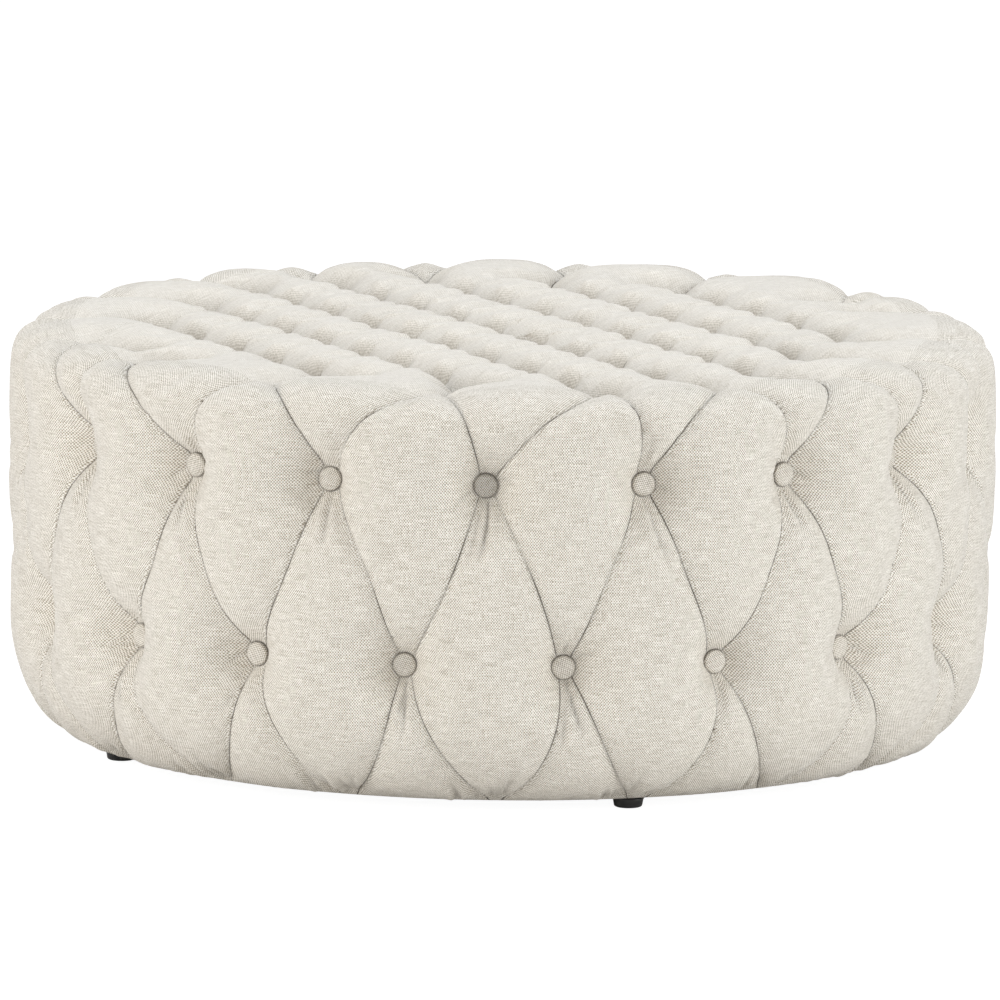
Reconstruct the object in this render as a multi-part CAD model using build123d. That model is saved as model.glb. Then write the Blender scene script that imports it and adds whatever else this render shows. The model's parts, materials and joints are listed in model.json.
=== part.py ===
from build123d import *
import math
import os

# Round deep-buttoned ottoman, in millimetres, standing on its four glides at z = 0.
# The side that the photograph shows is -Y. The tufting is laid out in a frame of its own,
# with the straight rows of the top along Y, and the whole cover is turned into place at the end.

# Overall sizes
overallRadius = 508
rimHeight = 428
topRise = 6
coverBottom = 10

# Side tufting: two staggered rows of buttons
sideCount = 18
lowerRowHeight = 154
upperRowHeight = 340
sideTuftDepth = 48
sidePleatDepth = 10
sideSeatRadius = 14.5

# Top tufting: straight rows on one lattice
rowPitch = 101
stepPitch = 88
topTuftDepth = 32
topPleatDepth = 10
topSeatRadius = 20.5

# Rounding of the cover's rim and of its lower edge, and the turned-under hem
rimRadius = 46
lowerInset = 78
hemPleatDepth = 6
hemWidth = 50
hemThickness = 2.5

# Padding and its inner faces
topWall = 8
sideWall = 8
hemWall = 5
paddingBevel = 24
topFoamThickness = 50
sideFoamThickness = 31
hoopThickness = 4
softClearance = 0.3

# Buttons
buttonRadius = 12.5
buttonEdge = 3.5
buttonFlatRadius = 7
buttonHeight = 8
buttonSides = 8

# Timber frame
deckThickness = 15
baseThickness = 18
baseRingWidth = 110
postWidth = 40
postCount = 8
postEdgeSpace = 22
centrePostWidth = 60
railWidth = 60
railThickness = 20
railEndSpace = 42
fitClearance = 0.2
deckScrewRadius = 2.5
deckScrewHeadRadius = 5
deckScrewLength = 50
screwSides = 6

# Glides and their screws
footCount = 4
footInset = 20
footTopRadius = 16.5
footBottomRadius = 14
footEdge = 1.2
footSides = 24
footScrewRadius = 2.2
footScrewHeadRadius = 4.6
footScrewDepth = 3
footScrewBite = 14

# Sheet under the base and its staples
dustThickness = 0.9
dustOverlap = 10
stapleCount = 24
stapleLength = 11
stapleWidth = 1.6
stapleHeight = 0.7
stapleInset = 5

# Turns about the vertical axis, in degrees
rowTurn = 28
footTurn = 18.8
postTurn = 22.5

# One overrun serves all cuts
overrun = 5

# Outermost buttons of the top in one quarter, as shares of rowPitch and stepPitch
rimButtonShares = [(0, 4.5), (1, 4.5), (2, 3.5), (3, 2.5), (4, 0.5)]
# Shares of the way from row to row at which the side's cells get a section
middleShares = [0, 0.25, 0.75, 1]
rimShares = [0.18, 0.4, 0.63]
lowerShares = [1, 0.65, 0.3]
# Shares of an arc at which a section has its inner points
ribShares = [0.25, 0.5, 0.75]
# Share of the way to a further row that the lowest pleats have run at the bottom edge
lowerRunShare = 0.7
# A cell's crown stays above its own pleats by the rest of this share
crownLimitShare = 0.8

fullTurn = 360
halfTurn = fullTurn / 2
pitchTurn = fullTurn / sideCount
seatRadius = overallRadius - sideTuftDepth
seatTurn = math.degrees(math.asin(sideSeatRadius / seatRadius))
rimPathRadius = overallRadius - rimRadius
hemRadius = overallRadius - lowerInset


# Points


def polar(radius, turn, z):
    """Point at a turn counted in degrees from +Y towards +X."""
    a = math.radians(turn)
    return Vector(radius * math.sin(a), radius * math.cos(a), z)


def blend(a, b, share):
    return a + (b - a) * share


def turnOf(point, near=0):
    """Turn of a point about the vertical axis, counted on from a turn near it."""
    turn = math.degrees(math.atan2(point.X, point.Y))
    return near + (turn - near + fullTurn / 2) % fullTurn - fullTurn / 2


def radiusOf(point):
    return math.hypot(point.X, point.Y)


def topHeight(point):
    """Height of the top's crowns, which rise a little towards the middle."""
    reach = min(radiusOf(point) / rimPathRadius, 1)
    return rimHeight + topRise * (1 - reach * reach)


def crowned(a, b, drop=0):
    """Crown half way between two points of the top."""
    middle = (a + b) / 2
    return Vector(middle.X, middle.Y, topHeight(middle) - drop)


# Sections and faces


def ribs(left, crown, right):
    """Points along the arc through three points."""
    arc = Edge.make_three_point_arc(left, crown, right)
    return [left] + [arc @ share for share in ribShares] + [right]


def lines(left, middle, right):
    """Points along a line that bends in its middle."""
    return [left, (left + middle) / 2, middle, (middle + right) / 2, right]


def chord(left, right):
    return lines(left, (left + right) / 2, right)


def loftThrough(sections):
    """Flat faces from each section to the next, across the shorter way of each stretch."""
    faces = []
    for first, second in zip(sections, sections[1:]):
        for a, b, c, d in zip(first, first[1:], second[1:], second):
            if (a - c).length < (b - d).length:
                faces += [polygon([a, b, c]), polygon([a, c, d])]
            else:
                faces += [polygon([a, b, d]), polygon([b, c, d])]
    return faces


def polygon(points):
    return Face(Wire.make_polygon(points, close=True))


# The top's lattice of buttons


def rimButtonPlaces():
    """Rim buttons in order round the top, starting at +Y."""
    half = rimButtonShares + [(row, -step) for row, step in reversed(rimButtonShares)]
    return half + [(-row, step) for row, step in reversed(half[1:-1])]


def innerButtonPlaces():
    """Buttons inside the rim buttons, on the lines that join them."""
    places = []
    for row, last in rimButtonShares[:-1]:
        for k in range(1, int(2 * last)):
            places.append((row, k - last))
            if row > 0:
                places.append((-row, k - last))
    return places


def seatCentre(place):
    flat = Vector(place[0] * rowPitch, place[1] * stepPitch, 0)
    return Vector(flat.X, flat.Y, topHeight(flat) - topTuftDepth)


def seatCorner(place, turn):
    """Corner of a top button's seat at a turn from +Y."""
    return seatCentre(place) + polar(topSeatRadius, turn, 0)


def pleatMiddle(a, b):
    return crowned(seatCentre(a), seatCentre(b), topPleatDepth)


def outerCorner(place, side):
    """Corner of a rim seat where the pleat from the side arrives: -1 left, 1 right."""
    return seatCorner(place, turnOf(seatCentre(place)) + side * fullTurn / 8)


def seatEdge(place, side, innerTurn, splits=(1, 1)):
    """Points along a rim seat from its outer corner over a middle corner to its inner one."""
    centreTurn = turnOf(seatCentre(place))
    first = centreTurn + side * fullTurn / 8
    gap = side * (innerTurn - first) % fullTurn
    corners = [seatCorner(place, first + side * gap * k / 2) for k in range(3)]
    points = []
    for a, b, count in zip(corners, corners[1:], splits):
        points += [blend(a, b, k / count) for k in range(count)]
    return points + corners[-1:]


# Side of the cover: closed rings of arcs, two cells and two pleats for each button pitch


def ring(point, crownUnder, crownOver):
    """One section all round. point gives the pleats left and right of a cell's middle."""
    cells = []
    for k in range(sideCount):
        left, right = point(k, -1), point(k, 1)
        after = point(k + 1, -1)
        cells.append(section(left, crownUnder(k, left, right), right))
        cells.append(section(right, crownOver(k, right, after), after))
    return cells


def section(left, crown, right):
    return chord(left, right) if crown is None else ribs(left, crown, right)


def sideCrown(radius, z, share, depth):
    """Crown of a side cell that has this share of its full width there."""
    drop = min(sideTuftDepth * (1 - share) ** 4, crownLimitShare * depth)

    def crown(left, right, turn):
        return None if share == 0 else polar(radius - drop, turn, z)

    return crown


def pleatDepth(share, low, high):
    """Depth of a pleat below the crowns: deepest at its two buttons, least half way."""
    seat = low if share < 1 / 2 else high
    return sidePleatDepth + (seat - sidePleatDepth) * abs(2 * share - 1) ** 3


def plainRing(radius, z, depth, run, underShare, overShare):
    """Ring between the bottom edge and the upper row, where the cells lie evenly."""
    half = blend(seatTurn, pitchTurn / 2 - seatTurn, run)
    under = sideCrown(radius, z, underShare, depth)
    over = sideCrown(radius, z, overShare, depth)
    return ring(
        lambda k, side: polar(radius - depth, k * pitchTurn + side * half, z),
        lambda k, a, b: under(a, b, k * pitchTurn),
        lambda k, a, b: over(a, b, (k + 1 / 2) * pitchTurn),
    )


def lowerRings():
    """From the hem up to the lower row, on a quarter of an ellipse."""
    rise = lowerRowHeight - sideSeatRadius - coverBottom
    rings = []
    for share in lowerShares:
        a = math.radians(fullTurn / 4 * share)
        run = lowerRunShare * share
        depth = blend(pleatDepth(run, sideTuftDepth, sideTuftDepth), hemPleatDepth, share**2)
        radius = hemRadius + lowerInset * math.cos(a)
        z = coverBottom + rise * (1 - math.sin(a))
        rings.append(plainRing(radius, z, depth, run, run, 1 - run * share))
    return rings


def middleRings():
    """From the lower row's seats up to the upper row's."""
    low, high = lowerRowHeight + sideSeatRadius, upperRowHeight - sideSeatRadius
    rings = []
    for share in middleShares:
        depth = pleatDepth(share, sideTuftDepth, sideTuftDepth)
        rings.append(plainRing(overallRadius, blend(low, high, share), depth, share, share, 1 - share))
    return rings


def rimPath(share, endRadius, drop):
    """Radius and height on the way up the side, over the rim and in to a rim button."""
    start = upperRowHeight + sideSeatRadius
    rise = rimHeight - rimRadius - start
    curve = rimRadius * math.pi / 2
    flat = rimPathRadius - rowPitch * rimButtonShares[-1][0]
    way = share * (rise + curve + flat)
    if way < rise:
        return overallRadius - drop, start + way
    if way < rise + curve:
        a = (way - rise) / rimRadius
        out = rimRadius - drop
        return rimPathRadius + out * math.cos(a), rimHeight - rimRadius + out * math.sin(a)
    radius = blend(rimPathRadius, endRadius, (way - rise - curve) / flat)
    return radius, topHeight(Vector(radius, 0, 0)) - drop


def upperRings():
    """From the upper row's seats over the rim to the rim buttons."""
    places = rimButtonPlaces()
    rings = []
    for share in rimShares:
        depth = pleatDepth(share, sideTuftDepth, topTuftDepth)
        full = blend(sideTuftDepth, topTuftDepth, share)

        def pleat(k, side):
            low = (k + side / 2) * pitchTurn - side * seatTurn
            corner = outerCorner(places[k % sideCount], side)
            turn = blend(low, turnOf(corner, k * pitchTurn), share)
            radius, z = rimPath(share, radiusOf(corner), depth)
            return polar(radius, turn, z)

        def crown(a, b, end, width):
            drop = min(full * (1 - width) ** 4, crownLimitShare * depth)
            radius, z = rimPath(share, radiusOf(end), drop)
            return polar(radius, turnOf(a + b), z)

        def under(k, a, b):
            return crown(a, b, seatCentre(places[k]), 1 - share)

        def over(k, a, b):
            return crown(a, b, crestPoint(places[k], places[(k + 1) % sideCount]), share)

        rings.append(ring(pleat, under, over))
    rings.append(ring(
        lambda k, side: outerCorner(places[k % sideCount], side),
        lambda k, a, b: None,
        lambda k, a, b: crowned(a, b),
    ))
    return rings


def crestPoint(place, after):
    return crowned(outerCorner(place, 1), outerCorner(after, -1))


def sideFaces():
    """All faces of the side, the seats of both button rows and the bottom."""
    lower, middle, upper = lowerRings(), middleRings(), upperRings()
    high = upperRowHeight + sideSeatRadius
    low = lowerRowHeight - sideSeatRadius
    lower.append(plainRing(overallRadius, low, sideTuftDepth, 0, 0, 1))
    upper.insert(0, plainRing(overallRadius, high, sideTuftDepth, 1, 1, 0))
    rings = lower + middle + upper
    faces = []
    for i, (first, second) in enumerate(zip(rings, rings[1:])):
        for c in range(2 * sideCount):
            atLowerSeat = i == len(lower) - 1 and c % 2 == 0
            atUpperSeat = i == len(lower) + len(middle) - 1 and c % 2 == 1
            if atLowerSeat or atUpperSeat:
                faces.append(polygon(first[c] + second[c][::-1]))
            else:
                faces += loftThrough([first[c], second[c]])
    return faces + [polygon([point for cell in rings[0] for point in cell[:-1]])]


# Top of the cover: one crowned cell after another


def topCell(row, step):
    """Cell between two lines and two steps of the lattice, as sections along the row."""
    low, high = [(row, step), (row + 1, step)], [(row, step + 1), (row + 1, step + 1)]
    slack = 1 - 2 * topSeatRadius / stepPitch
    drop = topPleatDepth * slack**2

    def across(pair, turn):
        a, b = [seatCorner(place, turn) for place in pair]
        return lines(a, crowned(a, b, drop), b)

    middle = [pleatMiddle(low[0], high[0]), pleatMiddle(low[1], high[1])]
    return loftThrough([
        crossPleat(*low),
        across(low, 0),
        ribs(middle[0], crowned(*middle), middle[1]),
        across(high, fullTurn / 2),
        crossPleat(*high),
    ])


def crossPleat(left, right):
    """Pleat across a row, from the seat on its left to the seat on its right."""
    quarter = fullTurn / 4
    return lines(seatCorner(left, quarter), pleatMiddle(left, right), seatCorner(right, -quarter))


def rimCell(left, right, base):
    """Cell behind the rim's crest, lofted between two chains of points to its last pleat."""
    sections = [ribs(left[0], crowned(left[0], right[0]), right[0])]
    count = len(left) - 1
    for k in range(1, count):
        drop = topPleatDepth * max(0, 2 * k / count - 1) ** 2
        sections.append(lines(left[k], crowned(left[k], right[k], drop), right[k]))
    return loftThrough(sections + [base])


def lineChain(row, start, end):
    """Points down a line of the lattice, past each seat on its right hand side."""
    points = []
    step = start
    while step > end:
        points.append(pleatMiddle((row, step), (row, step - 1)))
        step -= 1
        points.append(seatCorner((row, step), 0))
        points.append(seatCorner((row, step), fullTurn / 4))
        if step > end:
            points.append(seatCorner((row, step), fullTurn / 2))
    return points


def splitsFor(count):
    """How a seat's two edges share this many pieces."""
    return count // 2, count - count // 2


def rimCells():
    """Cells behind the rim in one quarter, and the extra points that they need on seats."""
    faces = []
    splits = {}
    inward = fullTurn / 2
    sideways = -fullTurn / 4
    for place, after in zip(rimButtonShares, rimButtonShares[1:]):
        end = after[1] if after[1] < place[1] else place[1] - 1
        left = seatEdge(place, 1, inward) + lineChain(place[0], place[1], end)
        if after[1] < place[1]:
            splits[after] = splitsFor(len(left) - 1)
            right = seatEdge(after, -1, sideways, splits[after])
            base = crossPleat((place[0], end), after)
        else:
            right = seatEdge(after, -1, inward)
            right += [pleatMiddle(after, (after[0], end)), seatCorner((after[0], end), 0)]
            right += [seatCorner((after[0], end), sideways)]
            base = crossPleat((place[0], end), (after[0], end))
        faces += rimCell(left, right, base)
    return faces, splits


def endCell():
    """Widest cell behind the rim, between the last two rim buttons of a half."""
    row, step = rimButtonShares[-1]
    base = []
    chains = []
    for sign in (1, -1):
        place, inner = (row, sign * step), (row - 1, sign * step)
        chain = seatEdge(place, sign, -fullTurn / 4)
        chain.append(pleatMiddle(place, inner))
        chain.append(seatCorner(inner, fullTurn / 4))
        chain.append(seatCorner(inner, fullTurn / 4 + sign * fullTurn / 4))
        chains.append(chain)
        base.append(inner)
    last = lines(chains[0][-1], pleatMiddle(*base), chains[1][-1])
    return rimCell(chains[0], chains[1], last)


def rimSeat(place, splits):
    """Face under one rim button, with every point that its neighbours have on it."""
    onLine = place[0] < rimButtonShares[-1][0]
    stepsIn = place[1] < rimButtonShares[0][1]
    inward, sideways = fullTurn / 2, -fullTurn / 4
    right = seatEdge(place, 1, inward if onLine else sideways)
    left = seatEdge(place, -1, sideways if stepsIn else inward, splits.get(place, (1, 1)))
    if left[-1] == right[-1]:
        left = left[:-1]
    return polygon(chord(left[0], right[0])[1:-1] + right + left[::-1])


def topFaces():
    faces = []
    for (row, last), (_, after) in zip(rimButtonShares, rimButtonShares[1:-1]):
        reach = after if after < last else last - 1
        for k in range(int(2 * reach)):
            faces += topCell(row, k - reach)
    cells, splits = rimCells()
    quarter = cells + [rimSeat(place, splits) for place in rimButtonShares[1:]]
    faces += quarter + [face.mirror(Plane.XZ) for face in quarter]
    faces += endCell()
    faces += [face.mirror(Plane.YZ) for face in faces]
    middle = rimSeat(rimButtonShares[0], splits)
    faces += [middle, middle.mirror(Plane.XZ)]
    quarterTurns = [k * fullTurn / 4 for k in range(4)]
    for place in innerButtonPlaces():
        faces.append(polygon([seatCorner(place, turn) for turn in quarterTurns]))
    return faces


# Sizes of the space inside the cover, and of what fills it

paddingRadius = seatRadius - sideWall
paddingTop = rimHeight - topTuftDepth - topWall
hemTop = coverBottom + hemThickness
hemInner = hemRadius - hemWidth
foamRadius = paddingRadius - softClearance
foamTop = paddingTop - softClearance
foamInner = foamRadius - sideFoamThickness
hoopRadius = foamInner - softClearance
hoopInner = hoopRadius - hoopThickness
deckRadius = hoopInner - fitClearance
deckTop = foamTop - topFoamThickness
deckBottom = deckTop - deckThickness
baseRadius = hemRadius - hemWall
baseBottom = hemTop + softClearance
baseTop = baseBottom + baseThickness
footCircleRadius = hemRadius - footInset
skirtTop = baseTop + softClearance
railTop = baseTop + railThickness
postCircle = deckRadius - postEdgeSpace - postWidth / 2
dustTop = coverBottom - softClearance
dustBottom = dustTop - dustThickness
footTop = coverBottom - softClearance
footScrewTop = baseBottom + footScrewBite
deckScrewEnd = deckTop - deckScrewLength


def turned(outline):
    """Solid of revolution about the vertical axis from (radius, height) points."""
    return Solid.revolve(polygon([Vector(r, 0, z) for r, z in outline]), fullTurn, Axis.Z)


def faceted(sides, outline, at=Vector(0, 0, 0)):
    """Upright body with flat sides, from the (radius, height) of its corners from the bottom up."""
    rings = []
    for radius, z in outline:
        rings.append([at + polar(radius, k * fullTurn / sides, z) for k in range(sides)])
    faces = [polygon(rings[0]), polygon(rings[-1])]
    for low, high in zip(rings, rings[1:]):
        faces += [polygon([low[k - 1], low[k], high[k], high[k - 1]]) for k in range(sides)]
    return Solid(Shell(faces))


def rod(radius, low, high, at=Vector(0, 0, 0)):
    return Solid.make_cylinder(radius, high - low, Plane(origin=(at.X, at.Y, low)))


def tube(outer, inner, low, high):
    return turned([(inner, low), (outer, low), (outer, high), (inner, high)])


def block(length, width, low, high, at=Vector(0, 0, 0), turn=0):
    """Upright block centred on a point, with its length along X before its own turn."""
    corner = Plane(origin=(-length / 2, -width / 2, 0))
    box = Solid.make_box(length, width, high - low, corner)
    return box.moved(Location((at.X, at.Y, low), (0, 0, -turn)))


def turnsAround(count, start):
    """Even turns round the part, the first one counted from the side of the photograph."""
    return [halfTurn - start + k * fullTurn / count for k in range(count)]


# Cover, buttons and padding


def insideCover():
    """Space for the padding and the frame, open below through the hem."""
    return turned([
        (0, coverBottom - overrun),
        (hemInner, coverBottom - overrun),
        (hemInner, hemTop),
        (baseRadius + softClearance, hemTop),
        (baseRadius + softClearance, skirtTop),
        (paddingRadius, skirtTop + paddingBevel),
        (paddingRadius, paddingTop),
        (0, paddingTop),
    ])


def tuftedCover():
    cover = Solid(Shell(sideFaces() + topFaces())).moved(Location((0, 0, 0), (0, 0, rowTurn)))
    return cover - [insideCover()] - [footScrew(at, fitClearance) for at in footPlaces()]


def coveredButton():
    """Button with a flat back, a short edge and a front that rises to a flat middle."""
    front = [(buttonRadius, buttonEdge), (buttonFlatRadius, buttonHeight)]
    return faceted(buttonSides, [(buttonRadius, 0)] + front)


def buttonsOnTop(places):
    button = coveredButton()
    copies = []
    for place in places:
        at = seatCentre(place)
        copies.append(button.moved(Location((at.X, at.Y, at.Z + softClearance))))
    return inPlace(copies)


def buttonsOnSide(height, start):
    button = coveredButton()
    radius = seatRadius * math.cos(math.radians(seatTurn)) + softClearance
    copies = []
    for k in range(sideCount):
        out = polar(radius, start + k * pitchTurn, height)
        seat = Plane(origin=out, z_dir=(out.X, out.Y, 0))
        copies.append(button.moved(seat.location))
    return inPlace(copies)


def inPlace(solids):
    """Pieces of the tufting turned with the cover."""
    return Compound([solid.moved(Location((0, 0, 0), (0, 0, rowTurn))) for solid in solids])


def sideFoam():
    return turned([
        (foamInner, skirtTop),
        (baseRadius, skirtTop),
        (foamRadius, skirtTop + paddingBevel),
        (foamRadius, deckTop - softClearance),
        (foamInner, deckTop - softClearance),
    ])


# Timber frame


def postPlaces():
    return [polar(postCircle, turn, 0) for turn in turnsAround(postCount, footTurn + postTurn)]


def deckPanel():
    return rod(deckRadius, deckBottom, deckTop) - [deckScrew(at, fitClearance) for at in deckScrewPlaces()]


def deckScrewPlaces():
    return postPlaces() + [Vector(0, 0, 0)]


def post(width, low, at, turn):
    return block(width, width, low, deckBottom, at, turn) - deckScrew(at, fitClearance)


def deckScrew(at, clearance=0):
    """Countersunk screw down through the deck, or with a clearance the hole for it."""
    shank, head = deckScrewRadius + clearance, deckScrewHeadRadius + clearance
    neck = deckTop - head + shank
    return faceted(screwSides, [(shank, deckScrewEnd), (shank, neck), (head, deckTop)], at)


def baseRing():
    ring = tube(baseRadius, baseRadius - baseRingWidth, baseBottom, baseTop)
    return ring - [footScrew(at, fitClearance) for at in footPlaces()]


def rail(turn, notchLow, notchHigh):
    """Rail across the base ring, notched half way through where it crosses the other one."""
    length = 2 * (deckRadius - railEndSpace)
    whole = block(length, railWidth, baseTop, railTop, turn=turn)
    notch = block(railWidth + 2 * fitClearance, railWidth + overrun, notchLow, notchHigh, turn=turn)
    return whole - notch


# Feet and the sheet under the base


def footPlaces():
    return [polar(footCircleRadius, turn, 0) for turn in turnsAround(footCount, footTurn)]


def foot(at):
    """Tapered glide with a small bevel underneath and a countersunk hole for its screw."""
    bottom = [(footBottomRadius - footEdge, 0), (footBottomRadius, footEdge)]
    return faceted(footSides, bottom + [(footTopRadius, footTop)], at) - footScrew(at, fitClearance)


def footScrew(at, clearance=0):
    """Countersunk screw up through a glide, or with a clearance the hole for it."""
    shank, head = footScrewRadius + clearance, footScrewHeadRadius + clearance
    neck = footScrewDepth + head - shank
    outline = [(head, footScrewDepth), (shank, neck), (shank, footScrewTop)]
    if clearance > 0:
        outline.insert(0, (head, -overrun))
    return faceted(screwSides, outline, at)


def staple(turn):
    at = polar(hemInner + dustOverlap - stapleInset, turn, 0)
    return block(stapleLength, stapleWidth, dustBottom - stapleHeight, dustBottom, at, turn)


def keep(name, shape):
    export_step(shape, "parts/" + name + ".step")


os.makedirs("parts", exist_ok=True)

keep("tufted_cover", tuftedCover())
keep("top_buttons", buttonsOnTop(innerButtonPlaces()))
keep("rim_buttons", buttonsOnTop(rimButtonPlaces()))
keep("upper_row_buttons", buttonsOnSide(upperRowHeight, pitchTurn / 2))
keep("lower_row_buttons", buttonsOnSide(lowerRowHeight, 0))

keep("top_foam", rod(foamRadius, deckTop, foamTop))
keep("side_foam", sideFoam())
keep("side_hoop", tube(hoopRadius, hoopInner, baseTop, deckTop - softClearance))
keep("deck_panel", deckPanel())
keep("base_ring", baseRing())
keep("base_rail_1", rail(footTurn, baseTop + railThickness / 2, railTop + overrun))
keep("base_rail_2", rail(footTurn + fullTurn / 4, baseTop - overrun, baseTop + railThickness / 2))
keep("centre_post", post(centrePostWidth, railTop, Vector(0, 0, 0), footTurn))
for index, turn in enumerate(turnsAround(postCount, footTurn + postTurn)):
    keep(f"post_{index + 1}", post(postWidth, baseTop, polar(postCircle, turn, 0), turn))
keep("deck_screws", Compound([deckScrew(at) for at in deckScrewPlaces()]))

for index, at in enumerate(footPlaces()):
    keep(f"foot_{index + 1}", foot(at))
keep("foot_screws", Compound([footScrew(at) for at in footPlaces()]))
keep("dust_cover", rod(hemInner + dustOverlap, dustBottom, dustTop))
keep("dust_cover_staples", Compound([staple(turn) for turn in turnsAround(stapleCount, 0)]))
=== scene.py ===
import json
import math
import random

import bmesh
import bpy
import numpy as np
from mathutils import Matrix, Vector, kdtree, noise

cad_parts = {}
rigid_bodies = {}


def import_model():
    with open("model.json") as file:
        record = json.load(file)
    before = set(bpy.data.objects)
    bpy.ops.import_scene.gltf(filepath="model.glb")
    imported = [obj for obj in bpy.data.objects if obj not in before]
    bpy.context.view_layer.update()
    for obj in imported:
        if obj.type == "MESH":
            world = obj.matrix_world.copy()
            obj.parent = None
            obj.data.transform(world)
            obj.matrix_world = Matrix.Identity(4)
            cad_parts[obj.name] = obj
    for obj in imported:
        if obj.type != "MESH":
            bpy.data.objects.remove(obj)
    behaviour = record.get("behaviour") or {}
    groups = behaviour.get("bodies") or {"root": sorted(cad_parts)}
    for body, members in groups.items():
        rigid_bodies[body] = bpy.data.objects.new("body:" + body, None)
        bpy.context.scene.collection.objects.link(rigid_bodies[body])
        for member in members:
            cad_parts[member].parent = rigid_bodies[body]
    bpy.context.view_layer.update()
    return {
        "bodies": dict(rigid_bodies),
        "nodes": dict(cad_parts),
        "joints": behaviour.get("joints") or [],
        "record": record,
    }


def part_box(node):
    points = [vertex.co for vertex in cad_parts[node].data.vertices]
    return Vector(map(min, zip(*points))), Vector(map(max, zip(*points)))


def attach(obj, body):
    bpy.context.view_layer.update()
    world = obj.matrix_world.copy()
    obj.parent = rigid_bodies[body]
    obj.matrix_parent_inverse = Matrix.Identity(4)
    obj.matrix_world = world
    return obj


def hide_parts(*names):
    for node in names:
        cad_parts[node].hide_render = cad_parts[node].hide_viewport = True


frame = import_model()
print("stage: frame loaded", len(frame["nodes"]), "nodes")

random.seed(7)
scene = bpy.context.scene


# Shader maths: values that add their own nodes

class Flow:
    def __init__(self, tree, socket):
        self.tree, self.socket = tree, socket

    def combine(self, how, a, b):
        step = self.tree.nodes.new("ShaderNodeMath")
        step.operation = how
        for place, value in enumerate((a, b)):
            if isinstance(value, Flow):
                self.tree.links.new(value.socket, step.inputs[place])
            elif value is not None:
                step.inputs[place].default_value = value
        return Flow(self.tree, step.outputs[0])

    def __add__(self, other): return self.combine("ADD", self, other)
    def __radd__(self, other): return self.combine("ADD", other, self)
    def __sub__(self, other): return self.combine("SUBTRACT", self, other)
    def __rsub__(self, other): return self.combine("SUBTRACT", other, self)
    def __mul__(self, other): return self.combine("MULTIPLY", self, other)
    def __rmul__(self, other): return self.combine("MULTIPLY", other, self)
    def __truediv__(self, other): return self.combine("DIVIDE", self, other)
    def __rtruediv__(self, other): return self.combine("DIVIDE", other, self)
    def __pow__(self, other): return self.combine("POWER", self, other)
    def __rpow__(self, other): return self.combine("POWER", other, self)
    def __neg__(self): return self.combine("MULTIPLY", self, -1)
    def __abs__(self): return self.combine("ABSOLUTE", self, None)

    def over(self, other): return self.combine("MAXIMUM", self, other)
    def under(self, other): return self.combine("MINIMUM", self, other)
    def held(self): return self.over(0).under(1)  # kept between 0 and 1
    def sine(self): return self.combine("SINE", self, None)


class Finish:
    # one material: its tree, and one method that adds any node
    def __init__(self, name, **constants):
        self.material = bpy.data.materials.new(name)
        self.material.use_nodes = True
        self.tree = self.material.node_tree
        self.shader = next(n for n in self.tree.nodes if n.type == "BSDF_PRINCIPLED")
        for socket, value in constants.items():
            self.shader.inputs[socket.replace("_", " ")].default_value = value

    def node(self, kind, settings=None, **sockets):
        made = self.tree.nodes.new("ShaderNode" + kind)
        for key, value in (settings or {}).items():
            setattr(made, key, value)
        for key, value in sockets.items():
            self.feed(value, made.inputs[key.replace("_", " ")])
        return made

    def feed(self, value, socket):
        if isinstance(value, Flow):
            self.tree.links.new(value.socket, socket)
        else:
            socket.default_value = value

    def out(self, made, name=0):
        return Flow(self.tree, made.outputs[name])

    def place(self, u, v, w=0.0):
        return self.out(self.node("CombineXYZ", X=u, Y=v, Z=w))

    def objectPlace(self):
        axes = self.node("SeparateXYZ", Vector=self.out(self.node("TexCoord"), "Object"))
        return [self.out(axes, axis) for axis in "XYZ"]

    def weavePlace(self):
        axes = self.node("SeparateXYZ", Vector=self.out(self.node("UVMap", {"uv_map": "weave"})))
        return self.out(axes, "X"), self.out(axes, "Y")

    def grain(self, vector, detail=2.0, roughness=0.5):
        made = self.node("TexNoise", Vector=vector, Scale=1.0, Detail=detail, Roughness=roughness)
        return self.out(made, 0)

    def blendColours(self, share, a, b, how="MIX"):
        made = self.tree.nodes.new("ShaderNodeMix")
        made.data_type, made.blend_type = "RGBA", how
        self.feed(share, made.inputs[0])
        for socket, value in ((made.inputs[6], a), (made.inputs[7], b)):
            self.feed(value if isinstance(value, Flow) else (*value, 1), socket)
        return Flow(self.tree, made.outputs[2])

    def shaded(self, colour, factor):
        grey = self.out(self.node("CombineColor", Red=factor, Green=factor, Blue=factor))
        return self.blendColours(1.0, colour, grey, "MULTIPLY")

    def bump(self, height, distance, strength=1.0):
        made = self.node("Bump", Height=height, Distance=distance, Strength=strength)
        self.feed(self.out(made), self.shader.inputs["Normal"])

    def colour(self, value):
        self.feed(value, self.shader.inputs["Base Color"])


linenLook = {
    "pale": (0.968, 0.918, 0.838),
    "dark": (0.365, 0.313, 0.230),
    # painted shadow colour of the dark lines in the pleats' creases and of the ring in the gap round each
    # button
    "line": (0.070, 0.055, 0.036),
    "weftPitch": 0.00160,  # between yarns, up the side
    "warpPitch": 0.00130,  # and along it
    "weft": 0.022,         # length of a slub
    "warp": 0.012,
    "grain": 820,          # specks to a metre
    "yarnHeight": 0.00028,
    "roughness": 0.9,
    "foldLine": 0.00048,   # half the width of the painted shadow line in a pleat's crease
}


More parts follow.
